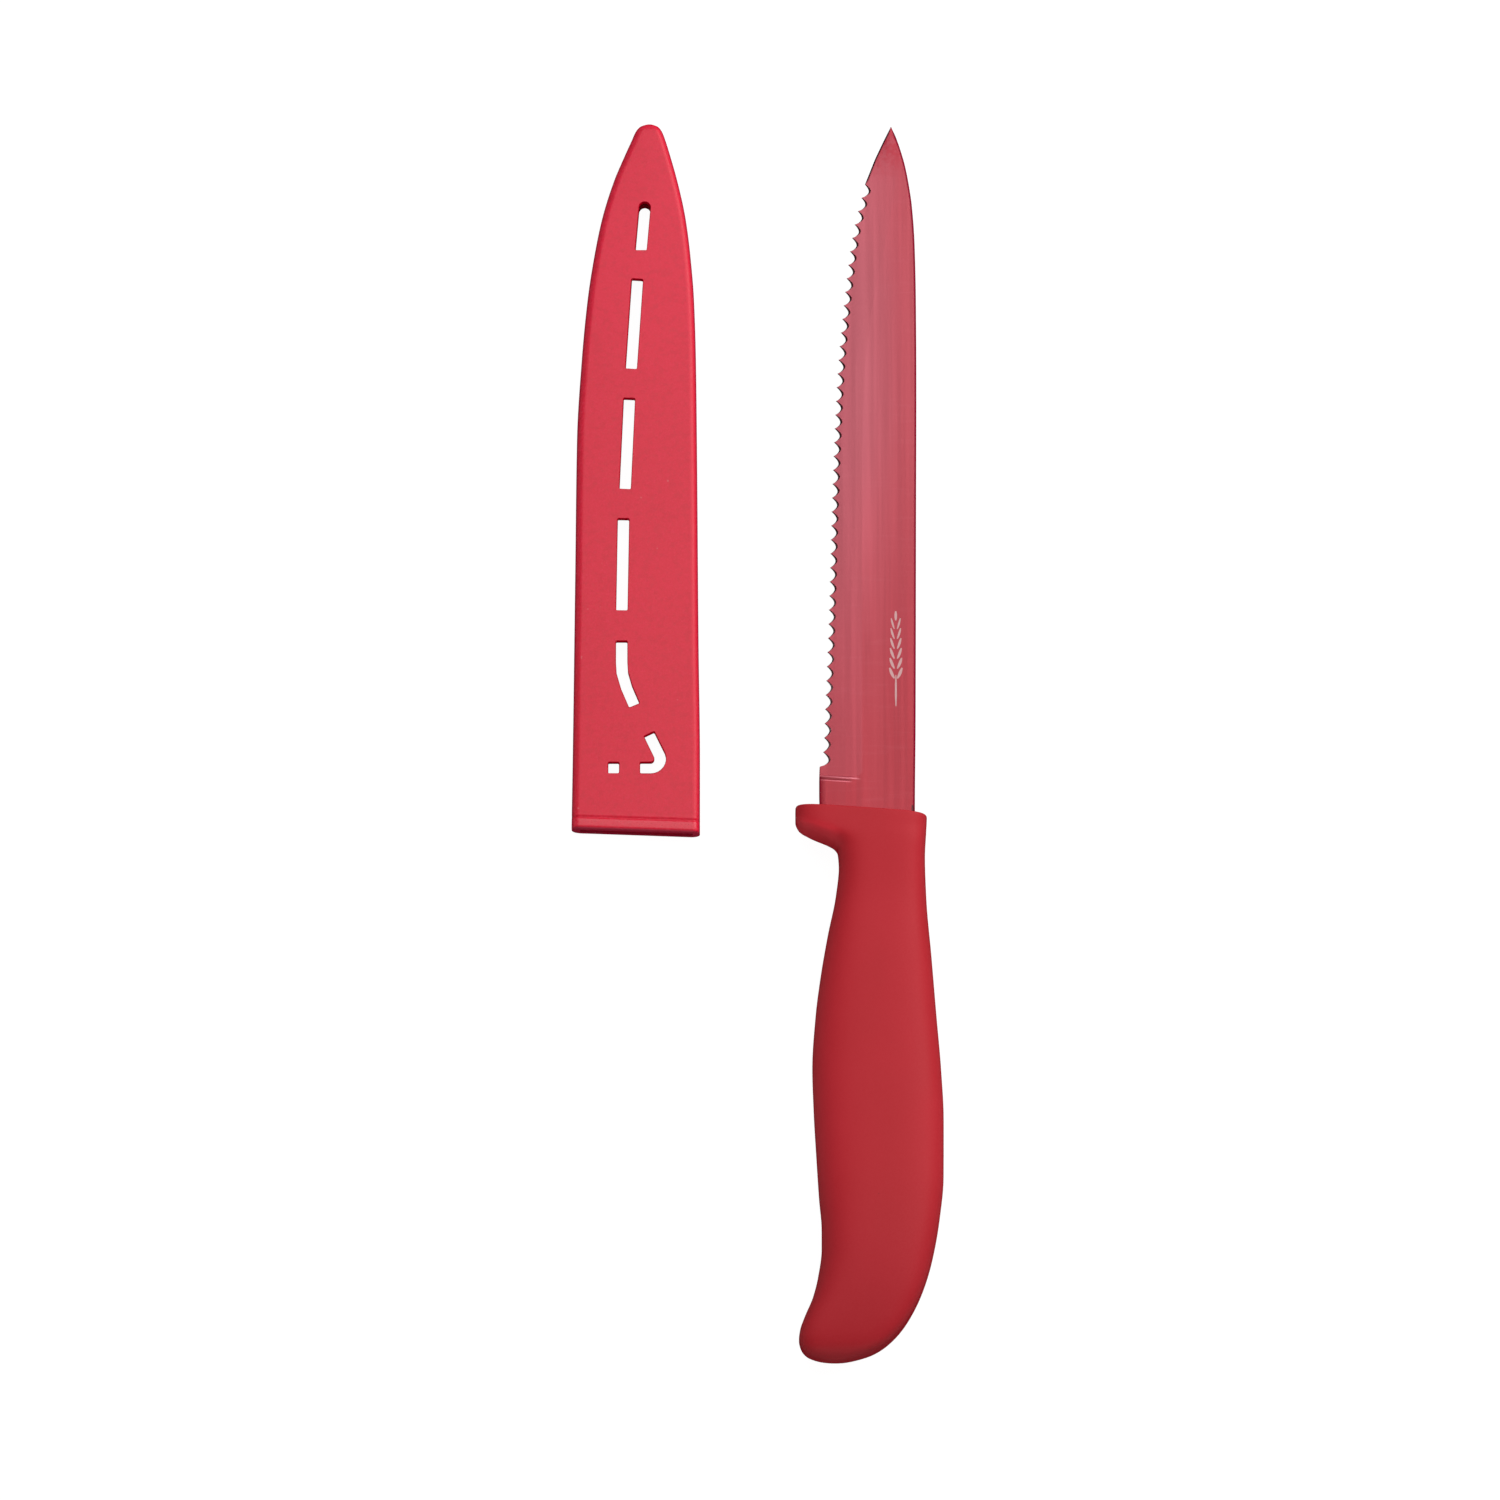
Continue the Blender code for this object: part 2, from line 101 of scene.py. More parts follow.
# ---- outlines ---------------------------------------------------------------
# Blade and sheath: (y, x).  GRIND is the ridge where the bevel meets the flat.
SPINE = [(-4, 9.2), (0, 9.15), (18, 9.32), (58, 9.5), (90.5, 9.63), (103.5, 9.58),
         (115.5, 9.35), (123.5, 8.82), (127.5, 8.27), (131.5, 7.52), (135.5, 6.4),
         (137.8, 5.56), (139.7, 4.72)]
TEETH = [(9.8, -9.5), (13.3, -8.85), (21, -8.55), (33, -8.05), (47, -7.6),
         (61.7, -7.2), (75.6, -6.7), (89.5, -6.0), (103.4, -4.75), (117.4, -3.0),
         (127.9, -0.53)]
FORE_EDGE = [(127.9, -0.5), (130.4, 0.47), (133.2, 1.57), (135.5, 2.62),
             (137.5, 3.57), (139.7, 4.65)]
GRIND = [(-4, -1.15), (8, -1.15), (70, -1.15), (89.5, -0.5), (103.5, 1.15),
         (115.5, 3.5), (124.4, 5.2), (129.4, 5.7), (132.7, 5.4), (136.4, 4.8),
         (139.7, 4.35)]
HEEL = [(-4, -9.7), (0.3, -9.55), (3.5, -9.7), (6.5, -9.7), (9.8, -9.6)]
SHEATH_LEFT = [(0, -12.65), (14.4, -12.45), (50.9, -12.05), (79.4, -11.75),
               (95.4, -10.85), (107.9, -9.7), (116.1, -8.5), (124.2, -6.9),
               (132.4, -4.4), (136.4, -2.75), (140.4, -1), (142.2, -0.2),
               (143.25, 0.7), (143.7, 1.9)]
SHEATH_RIGHT = [(0, 12.65), (14.4, 12.65), (38.8, 12.35), (79.4, 12), (95.4, 11.8),
                (107.9, 11.4), (116.1, 10.75), (124.2, 9.75), (132.4, 8), (136.4, 6.9),
                (140.4, 5.7), (142.2, 5), (143.25, 4.2), (143.7, 3.1)]
# Handle: (distance from the guard toward -Y, x).
HANDLE_LEFT = [(0, -14.4), (1.9, -14.4), (2.9, -13.9), (3.9, -11.9), (5.15, -8.5),
               (6.05, -6.95), (7.4, -6.1), (10.6, -5.85), (16.5, -6.45), (24.7, -8.1),
               (32.6, -9.45), (40.5, -10.45), (50.8, -11.1), (59, -10.85),
               (68.8, -10.3), (76.6, -9.8), (82.8, -9.3), (86.8, -9.3),
               (92.7, -10.05), (96.7, -11.05), (100.7, -12.7), (103.2, -13.55),
               (104.7, -13.75), (106.1, -13.45), (107.5, -12.5), (108.5, -10.5),
               (108.95, -8.5), (109.1, -7.0)]
HANDLE_RIGHT = [(0, 11.5), (3.4, 11.35), (8.9, 11.1), (16.9, 11.35), (28.8, 12.35),
                (40.6, 13.3), (50.8, 14.15), (61, 14.65), (72.7, 14.6), (80.5, 13.85),
                (88.7, 12.4), (94.7, 10.6), (100.7, 7.65), (104.6, 4.5),
                (107.1, 1.05), (108.5, -2.9), (108.95, -4.9), (109.1, -6.2)]
# (distance from the guard, power of the superellipse section)
HANDLE_FULL = [(0, 4.6), (5, 4.2), (10, 3.6), (18, 3.2), (40, 3.0), (88, 3.1),
               (97, 3.8), (104, 4.6), (109.1, 4.8)]

# ---- origins: the blade's root at the guard, and the sheath's mouth -----------
blade_lo, blade_hi = (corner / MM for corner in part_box("blade"))
sheath_lo, sheath_hi = (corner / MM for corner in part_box("sheath"))
HEEL_EDGE = HEEL[0][1]
KNIFE = (blade_lo.x - HEEL_EDGE, blade_hi.y - BLADE_LEN, (blade_lo.z + blade_hi.z) / 2)
SHEATH = (sheath_lo.x - SHEATH_LEFT[0][1], sheath_hi.y - SHEATH_LEN,
          (sheath_lo.z + sheath_hi.z) / 2)


# ---- curves -------------------------------------------------------------------

def smooth(points, x):
    """Shape-keeping cubic through the control points."""
    if x <= points[0][0]:
        return points[0][1]
    if x >= points[-1][0]:
        return points[-1][1]
    pairs = list(zip(points, points[1:]))
    steps = [b[0] - a[0] for a, b in pairs]
    rises = [(b[1] - a[1]) / step for (a, b), step in zip(pairs, steps)]
    slopes = [rises[0]]
    for i in range(1, len(rises)):
        if rises[i - 1] * rises[i] <= 0:
            slopes.append(0.0)
        else:
            before = 2 * steps[i] + steps[i - 1]
            after = steps[i] + 2 * steps[i - 1]
            slopes.append((before + after) / (before / rises[i - 1] + after / rises[i]))
    slopes.append(rises[-1])
    i = 0
    while x > points[i + 1][0]:
        i += 1
    part = (x - points[i][0]) / steps[i]
    return ((2 * part ** 3 - 3 * part ** 2 + 1) * points[i][1]
            + (part ** 3 - 2 * part ** 2 + part) * steps[i] * slopes[i]
            + (3 * part ** 2 - 2 * part ** 3) * points[i + 1][1]
            + (part ** 3 - part ** 2) * steps[i] * slopes[i + 1])


def ease(x):
    x = min(1.0, max(0.0, x))
    return x * x * (3 - 2 * x)


def span(start, stop, count):
    """count even steps from start to stop, without stop."""
    return [start + (stop - start) * i / count for i in range(count)]


# ---- mesh helpers ---------------------------------------------------------------

def to_mesh(name, rings, origin, mats=(), face_mat=None, marks=()):
    """Skin closed rings of equal length into a closed mesh.

    marks names float attributes; their values follow x, y, z in each point.
    """
    build = bmesh.new()
    layers = [build.verts.layers.float.new(mark) for mark in marks]
    loops = []
    for ring in rings:
        loop = []
        for point in ring:
            vert = build.verts.new([(point[k] + origin[k]) * MM for k in range(3)])
            for layer, value in zip(layers, point[3:]):
                vert[layer] = value
            loop.append(vert)
        loops.append(loop)
    count = len(loops[0])
    for row, (low, high) in enumerate(zip(loops, loops[1:])):
        for i in range(count):
            j = (i + 1) % count
            face = build.faces.new((low[i], low[j], high[j], high[i]))
            if face_mat:
                face.material_index = face_mat(row, i)
    build.faces.new(loops[0])
    build.faces.new(list(reversed(loops[-1])))
    bmesh.ops.recalc_face_normals(build, faces=build.faces[:])
    if build.calc_volume(signed=True) < 0:
        bmesh.ops.reverse_faces(build, faces=build.faces[:])
    mesh = bpy.data.meshes.new(name)
    build.to_mesh(mesh)
    build.free()
    obj = bpy.data.objects.new(name, mesh)
    bpy.context.collection.objects.link(obj)
    for mat in mats:
        mesh.materials.append(mat)
    return obj


def prism_tool(name, layers, origin, mats=()):
    """Closed solid from outlines stacked in z: [(outline, z), ...] from low to high."""
    return to_mesh(name, [[(x, y, z) for x, y in outline] for outline, z in layers],
                   origin, mats)


def carve(obj, tools):
    """Cut the tools out of obj, leave the plain mesh and drop the tools."""
    for tool in tools:
        cut = obj.modifiers.new("cut", 'BOOLEAN')
        cut.operation = 'DIFFERENCE'
        cut.solver = 'EXACT'
        cut.material_mode = 'TRANSFER'
        cut.object = tool
    view = bpy.context.evaluated_depsgraph_get()
    mesh = bpy.data.meshes.new_from_object(obj.evaluated_get(view))
    old = obj.data
    obj.modifiers.clear()
    obj.data = mesh
    mesh.name = old.name
    bpy.data.meshes.remove(old)
    for tool in tools:
        bpy.data.objects.remove(tool)


def lock_cylinders(name, radius):
    """Upright cylinders on the centres of the tang's holes."""
    tools = []
    for y in LOCK_YS:
        angles = [2 * math.pi * i / 40 for i in range(40)]
        ring = [(LOCK_X + radius * math.cos(a), y + radius * math.sin(a)) for a in angles]
        tools.append(prism_tool(name, [(ring, -LOCK_REACH), (ring, LOCK_REACH)], KNIFE))
    return tools


# ---- outline helpers --------------------------------------------------------------

def area(outline):
    return sum(a[0] * b[1] - b[0] * a[1]
               for a, b in zip(outline, outline[1:] + outline[:1])) / 2


def offset(outline, distance):
    """Grow a simple outline."""
    turn = 1 if area(outline) > 0 else -1
    out = []
    for i, (x, y) in enumerate(outline):
        point = Vector((x, y))
        before = (point - Vector(outline[i - 1])).normalized()
        after = (Vector(outline[(i + 1) % len(outline)]) - point).normalized()
        miter = Vector((before.y, -before.x)) + Vector((after.y, -after.x))
        miter = miter / max(0.5, miter.length_squared / 2)
        out.append((x + miter.x * distance * turn, y + miter.y * distance * turn))
    return out


def soften(outline):
    """Round the corners of an outline, apart from the nearly straight ones."""
    out = []
    for i, corner in enumerate(outline):
        point = Vector(corner)
        before = Vector(outline[i - 1]) - point
        after = Vector(outline[(i + 1) % len(outline)]) - point
        turn = before.angle(after)
        if turn > math.radians(150):
            out.append(tuple(point))
            continue
        reach = min(SLOT_CORNER / math.tan(turn / 2), before.length * 0.45,
                    after.length * 0.45)
        start = point + before.normalized() * reach
        stop = point + after.normalized() * reach
        for j in range(SLOT_CORNER_STEPS + 1):
            t = j / SLOT_CORNER_STEPS
            spot = start * (1 - t) ** 2 + point * 2 * t * (1 - t) + stop * t ** 2
            out.append((spot.x, spot.y))
    return out


def heading(points, i):
    """Direction of a line of points at point i."""
    before = Vector(points[max(i - 1, 0)])
    return (Vector(points[min(i + 1, len(points) - 1)]) - before).normalized()


def ribbon(points, halves):
    """Outline of a strip along points, with a half width at each."""
    one, two = [], []
    for i, ((x, y), half) in enumerate(zip(points, halves)):
        ahead = heading(points, i)
        one.append((x - ahead.y * half, y + ahead.x * half))
        two.append((x + ahead.y * half, y - ahead.x * half))
    return one + two[::-1]


# ---- material helpers ---------------------------------------------------------------

def srgb(red, green, blue):
    out = []
    for level in (red, green, blue):
        level /= 255
        out.append(level / 12.92 if level <= 0.04045 else ((level + 0.055) / 1.055) ** 2.4)
    return (*out, 1.0)


class Graph:
    """A node tree, with inputs that take either a value or a link."""

    def __init__(self, tree):
        self.tree = tree

    def node(self, kind, ins=None, **props):
        node = self.tree.nodes.new(kind)
        for key, value in props.items():
            setattr(node, key, value)
        for key, value in (ins or {}).items():
            self.put(node.inputs[key], value)
        return node

    def put(self, socket, value):
        if isinstance(value, bpy.types.NodeSocket):
            self.tree.links.new(value, socket)
        else:
            socket.default_value = value

    def ramp(self, value, over, to=(0.0, 1.0)):
        """Smooth step: value runs over one range, the result over another."""
        return self.node("ShaderNodeMapRange", {0: value, 1: over[0], 2: over[1],
                                                3: to[0], 4: to[1]},
                         interpolation_type='SMOOTHSTEP').outputs[0]


class Shader(Graph):
    """One material; color is the base colour as tinted so far."""

    def __init__(self, name, origin=None):
        self.mat = bpy.data.materials.new(name)
        self.mat.use_nodes = True
        super().__init__(self.mat.node_tree)
        self.bsdf = self.tree.nodes["Principled BSDF"]
        self.place = self.node("ShaderNodeTexCoord").outputs["Object"]
        self.origin = origin
        if origin:
            self.xyz = self.node("ShaderNodeSeparateXYZ", {0: self.place}).outputs

    def set(self, values):
        for name, value in values.items():
            self.put(self.bsdf.inputs[name], value)

    def math(self, operation, one, two=0.0, clamp=False):
        return self.node("ShaderNodeMath", {0: one, 1: two}, operation=operation,
                         use_clamp=clamp).outputs[0]

    def times(self, one, two, clamp=False):
        return self.math('MULTIPLY', one, two, clamp)

    def minus(self, one, two, clamp=False):
        return self.math('SUBTRACT', one, two, clamp)

    def local(self, axis):
        """Coordinate in mm from the part's origin."""
        k = "xyz".index(axis)
        return self.minus(self.math('DIVIDE', self.xyz[k], MM), self.origin[k])

    def fade(self, axis, over, to=(0.0, 1.0)):
        """Ramp between two places on an axis, in mm from the part's origin."""
        k = "xyz".index(axis)
        return self.ramp(self.xyz[k], [(self.origin[k] + end) * MM for end in over], to)

    def mix(self, factor, low, high):
        return self.node("ShaderNodeMix", {0: factor, 6: low, 7: high},
                         data_type='RGBA').outputs[2]

    def tint(self, amount, tone, strength=None):
        if strength is not None:
            amount = self.times(amount, strength)
        self.color = self.mix(amount, self.color, tone)

    def mottle(self, noise, over, strength, tone):
        """Tint where the noise is high."""
        self.tint(self.ramp(noise, over, to=(0.0, strength)), tone)

    def noise(self, scale, detail=3.0, rough=0.5):
        """3-D noise; scale is in cells per millimetre along x, y, z."""
        scaled = self.node("ShaderNodeMapping", {0: self.place,
                                                 "Scale": [cells / MM for cells in scale]})
        return self.node("ShaderNodeTexNoise", {"Vector": scaled.outputs[0], "Scale": 1.0,
                                                "Detail": detail,
                                                "Roughness": rough}).outputs[0]

    def mark(self, name):
        return self.node("ShaderNodeAttribute", attribute_name=name,
                         attribute_type='GEOMETRY').outputs["Fac"]

    def bump(self, height, depth, strength):
        """depth is in mm."""
        bump = self.node("ShaderNodeBump", {"Height": height, "Strength": strength,
                                            "Distance": depth * MM})
        self.put(self.bsdf.inputs["Normal"], bump.outputs[0])

    def grazing(self, power):
        """0 face on, 1 at the rim."""
        facing = self.node("ShaderNodeLayerWeight", {"Blend": 0.5}).outputs["Facing"]
        return self.math('POWER', facing, power)


# ---- materials ------------------------------------------------------------------------

def coated_steel():
    """Red resin coat over brushed steel."""
    look = Shader("coated_steel", KNIFE)
    # paler toward the point and the edge: a painted reflection of the bright surroundings
    along = look.fade("y", over=(0, 95))
    across = look.fade("x", over=(-9, 9.5))
    reflection_fade = look.times(along, look.minus(1.33, across), clamp=True)
    look.color = look.mix(reflection_fade, low=srgb(168, 18, 40), high=srgb(188, 84, 99))
    # the ground bevel takes its own tone: a painted reflection on its tilted face
    strength = look.fade("y", over=(60, 118), to=(0.42, 0.3))
    toward_point = look.fade("y", over=(15, 80))
    look.tint(look.times(look.mark("ground"), strength),
              look.mix(toward_point, low=srgb(188, 71, 86), high=srgb(168, 62, 76)))
    # lengthwise brushing, seen through the coat, with a little across it
    brush = look.noise(scale=(1.1, 0.02, 0.4), detail=2.5)
    wide = look.noise(scale=(0.35, 0.01, 0.2), detail=2.0)
    cross = look.noise(scale=(0.13, 1.1, 0.3), detail=4.0, rough=0.6)
    look.mottle(brush, over=(0.42, 0.72), strength=0.05, tone=srgb(196, 104, 114))
    look.mottle(wide, over=(0.4, 0.65), strength=0.14, tone=srgb(144, 40, 52))
    look.mottle(cross, over=(0.5, 0.75), strength=0.07, tone=srgb(196, 96, 108))
    # the coat pools, redder and mottled, near the point
    tip = look.fade("y", over=(127.5, 135.5))
    pools = look.ramp(look.noise(scale=(1.1, 1.1, 1.1)), over=(0.35, 0.65), to=(0.3, 1.0))
    pool_strength = 0.85
    look.tint(look.times(tip, look.times(pools, pool_strength)), tone=srgb(174, 10, 42))
    # the step where the bevel begins: two painted highlight lines with a painted shade line
    # between
    # (slope against x, y at x = 0, half width, x where it ends, strength, tone)
    x, y = look.local("x"), look.local("y")
    for lean, at, width, stop, strength, tone in (
            (0.077, 6.68, 0.3, -3.4, 0.75, srgb(128, 16, 34)),
            (0.083, 7.03, 0.22, -2.0, 0.7, srgb(238, 136, 150)),
            (0.070, 6.34, 0.19, -3.6, 0.6, srgb(232, 120, 136))):
        level = look.math('ADD', y, look.times(x, lean))
        away = look.math('ABSOLUTE', look.minus(level, at))
        line = look.ramp(away, over=(width * 0.2, width), to=(strength, 0.0))
        ending = look.ramp(x, over=(stop - 0.7, stop + 0.7), to=(1.0, 0.0))
        look.tint(look.times(line, ending), tone)
    # painted shade: a darker patch along the middle of the blade's outer half
    middle = look.times(look.ramp(y, over=(52, 86)),
                        look.ramp(y, over=(102, 130), to=(1.0, 0.0)))
    inner = look.times(look.ramp(x, over=(-4.6, -0.6)),
                       look.ramp(x, over=(3.5, 7.6), to=(1.0, 0.15)))
    look.tint(look.times(middle, inner), strength=0.28, tone=srgb(140, 50, 64))
    # painted shade: a dark line along the spine, the heel's edges and the plain edge past the
    # teeth
    rim = look.mark("rim")
    dull = look.minus(1.0, rim, clamp=True)
    look.tint(rim, strength=0.9, tone=srgb(134, 8, 42))
    # a short painted shadow where the spine runs into the guard
    guard_gap_shadow_x = 8.7
    guard_gap_shadow = look.ramp(look.math('ABSOLUTE', look.minus(x, guard_gap_shadow_x)),
                     over=(0.12, 0.32), to=(0.9, 0.0))
    look.tint(look.times(guard_gap_shadow, look.ramp(y, over=(1.7, 2.1), to=(1.0, 0.0))),
              tone=srgb(70, 4, 16))
    look.set({"Base Color": look.color,
              "Metallic": look.times(dull, 0.35),
              "Specular IOR Level": look.times(dull, 0.5),
              "Roughness": look.ramp(brush, over=(0.3, 0.7), to=(0.36, 0.46)),
              "Coat Weight": look.times(dull, 0.15),
              "Coat Roughness": 0.3,
              "Anisotropic": 0.4})
    look.bump(brush, depth=0.002, strength=0.2)
    return look.mat


def bare_steel():
    """Ground steel where the serrations cut through the coat."""
    look = Shader("bare_steel", KNIFE)
    lines = look.noise(scale=(1.2, 5.0, 5.0))
    heel = look.fade("y", over=(10, 60), to=(1.0, 0.0))
    look.color = look.mix(heel, low=srgb(84, 48, 52), high=srgb(112, 96, 98))
    # bright glints, strongest at the heel, with a little left at the point
    glint = look.ramp(lines, over=(0.52, 0.66))
    least = 0.15
    look.tint(look.times(glint, look.math('ADD', heel, least)), tone=srgb(226, 224, 226))
    look.set({"Base Color": look.color,
              "Metallic": 0.75,
              "Roughness": look.ramp(lines, over=(0.3, 0.7), to=(0.24, 0.4))})
    look.bump(lines, depth=0.005, strength=0.4)
    return look.mat


def etched_mark():
    """Pale etching where the coat is burnt off to bright steel."""
    look = Shader("etched_mark")
    grain = look.noise(scale=(7.0, 7.0, 7.0), detail=2.0)
    look.set({"Base Color": look.mix(grain, low=srgb(196, 148, 149),
                                     high=srgb(216, 174, 173)),
              "Metallic": 0.3,
              "Roughness": 0.55})
    look.bump(grain, depth=0.004, strength=0.5)
    return look.mat


def soft_handle():
    """Matte, soft-touch moulded plastic."""
    look = Shader("soft_handle", KNIFE)
    cloud = look.noise(scale=(0.06, 0.035, 0.06))
    look.color = look.mix(look.ramp(cloud, over=(0.3, 0.7)),
                          low=srgb(186, 20, 34), high=srgb(192, 28, 42))
    # painted shade: darker toward the butt
    look.tint(look.fade("y", over=(-106, -66), to=(0.62, 0.0)), tone=srgb(162, 12, 26))
    # painted light: the side of the finger guard that faces -Y is made lighter
    x, y = look.local("x"), look.local("y")
    normal = look.node("ShaderNodeNewGeometry").outputs["Normal"]
    normal_y = look.node("ShaderNodeSeparateXYZ", {0: normal}).outputs[1]
    facing = look.ramp(normal_y, over=(-0.62, 0.04), to=(1.0, 0.0))
    beak = look.times(look.ramp(x, over=(-7.6, -4.6), to=(0.58, 0.0)),
                      look.ramp(y, over=(-13.0, -8.0)))
    beak = look.times(beak, look.ramp(x, over=(-14.6, -12.2), to=(0.45, 1.0)))
    look.tint(look.times(facing, beak), tone=srgb(250, 52, 68))
    fine = look.noise(scale=(2.6, 2.6, 2.6), rough=0.6)
    look.mottle(fine, over=(0.3, 0.7), strength=0.05, tone=srgb(214, 76, 84))
    dust = look.noise(scale=(0.9, 0.9, 0.9), detail=2.0)
    look.mottle(dust, over=(0.76, 0.82), strength=0.35, tone=srgb(120, 24, 32))
    # painted shade: darker toward the outline, where the surface turns away from view
    look.tint(look.grazing(power=8.0), strength=0.6, tone=srgb(122, 6, 24))
    look.set({"Base Color": look.color,
              "Roughness": look.ramp(cloud, over=(0.3, 0.7), to=(0.56, 0.62)),
              "Specular IOR Level": look.ramp(look.grazing(power=1.0), over=(0.7, 0.96),
                                              to=(0.32, 0.0))})
    look.bump(fine, depth=0.012, strength=0.35)
    return look.mat


def sheath_plastic():
    """Satin polypropylene with a fine spark-eroded grain."""
    look = Shader("sheath_plastic", SHEATH)
    cloud = look.noise(scale=(0.05, 0.05, 0.05))
    # a little lighter toward the tip: painted light
    look.color = look.mix(look.fade("y", over=(0, 143)),
                          low=srgb(219, 0, 45), high=srgb(226, 3, 53))
    look.mottle(cloud, over=(0.35, 0.65), strength=0.35, tone=srgb(212, 0, 43))
    grain = look.noise(scale=(2.2, 2.2, 2.2), rough=0.6)
    look.mottle(grain, over=(0.4, 0.7), strength=0.3, tone=srgb(236, 66, 94))
    look.mottle(look.noise(scale=(1.0, 1.0, 1.0), detail=2.0), over=(0.45, 0.7),
                strength=0.2, tone=srgb(182, 14, 32))
    look.mottle(look.noise(scale=(0.8, 0.8, 0.8), detail=1.0), over=(0.80, 0.84),
                strength=0.3, tone=srgb(236, 150, 150))
    lip = look.mark("lip")
    # painted highlight: the lip is tinted lighter and pinker
    look.tint(lip, strength=0.22, tone=srgb(228, 56, 78))
    # painted light: the upper rounded corner on the right is brighter and redder
    look.tint(look.mark("side"), strength=0.5, tone=srgb(240, 0, 52))
    # painted shade: dark along the upright sides and the end face at the mouth
    look.tint(look.mark("rim"), strength=0.65, tone=srgb(150, 2, 52))
    # painted shade: darker toward the outline, where the surface turns away from view
    look.tint(look.grazing(power=7.0), strength=0.4, tone=srgb(130, 0, 40))
    rough = look.ramp(grain, over=(0.3, 0.7), to=(0.40, 0.52))
    lip_gloss = 0.14
    look.set({"Base Color": look.color,
              "Roughness": look.minus(rough, look.times(lip, lip_gloss)),
              "Specular IOR Level": look.ramp(look.grazing(power=1.0), over=(0.55, 0.92),
                                              to=(0.45, 0.0)),
              "Subsurface Weight": 0.04,
              "Subsurface Radius": (0.0012, 0.0004, 0.0004)})
    look.bump(grain, depth=0.02, strength=0.55)
    return look.mat


def shaded_wall_plastic():
    """Side walls of the sheath's windows: the same plastic, painted darker as shade on the
    walls and as a dark outline round the windows.
    """
    look = Shader("sheath_wall_painted_shade")
    grain = look.noise(scale=(1.7, 1.7, 1.7), rough=0.6)
    look.set({"Base Color": look.mix(grain, low=srgb(192, 0, 34), high=srgb(208, 2, 42)),
              "Roughness": 0.6,
              "Specular IOR Level": 0.0})
    return look.mat


COATED, BARE, ETCHED = coated_steel(), bare_steel(), etched_mark()
SOFT, PLASTIC, SHADED_WALL = soft_handle(), sheath_plastic(), shaded_wall_plastic()


# ---- blade --------------------------------------------------------------------------

def tooth_tip(i):
    """y of a tooth; the pitch shrinks evenly toward the point."""
    return TEETH_START + i * PITCH_HEEL + (PITCH_POINT - PITCH_HEEL) * i * i / (2 * SCALLOPS)


TEETH_END = tooth_tip(SCALLOPS)


def scallop(i, part):
    """Depth of scallop i, part of the way from its tooth to the next."""
    deep = 1.4 if i == 0 else 1 + 0.15 * i / SCALLOPS
    lean = 0.75 if i == 0 else 1 - 0.2 * i / SCALLOPS
    return SCALLOP_DEPTH * deep * (1 - abs(2 * part ** lean - 1) ** 1.8)


def half_thick(y):
    thick = BLADE_T + (BLADE_T_TIP - BLADE_T) * ease((y - 75) / 60)
    if y > 135:
        thick *= 1 - 0.6 * ease((y - 135) / (BLADE_LEN - 135))
    return thick / 2


def edge_line(y):
    """x of the edge over the tooth tips."""
    if y < TEETH_START:
        return smooth(HEEL, y)
    return smooth(TEETH, y) if y <= TEETH[-1][0] else smooth(FORE_EDGE, y)


def face_at(x, y, left, ridge):
    """Height of the side face over the middle plane, and how far the point lies in
    the ground bevel between left and ridge."""
    top = half_thick(y)
    if x >= ridge + 0.3:
        return top, 0.0
    part = min(1.0, max(0.0, (ridge - x) / max(ridge - left, 0.6)))
    low = top - (top - EDGE_T / 2) * part ** (1.2 + 0.2 * ease((y - 35) / 65))
    # where the bevel starts, a ramp that leans a little and curls up at the ridge
    reach = ridge - x
    start = 7.12 + 0.05 * reach + 1.3 * max(0.0, 1 - reach / 2.2) ** 2
    z = top - (top - low) * ease((y - start) / 0.5)
    # a groove beside the ramp, deepest at the edge side
    away = y - (start - 0.55)
    z -= 0.055 * ease((reach - 2.2) / 2.5) * math.exp(-(away / 0.17) ** 2)
    ground = ease((y - start + 0.1) / 0.4) * (1 - ease((x - ridge + 0.25) / 0.4))
    return z, ground


def blade_stations():
    """(y, scallop or None, part of the scallop) of every section."""
    heel = (span(-SHOULDER, 0, 2) + span(0, 6, 8) + span(6, 9.2, 40)
            + span(9.2, TEETH_START, 4))
    stations = [(y, None, 0.0) for y in heel]
    for i in range(SCALLOPS):
        start, stop = tooth_tip(i), tooth_tip(i + 1)
        stations += [(start + (stop - start) * (k / 14), i, k / 14) for k in range(14)]
    tip = span(TEETH_END, BLADE_LEN - 2, 40)
    tip += [BLADE_LEN - 2 * (1 - k / 14) for k in range(15)]
    return stations + [(y, None, 0.0) for y in tip]


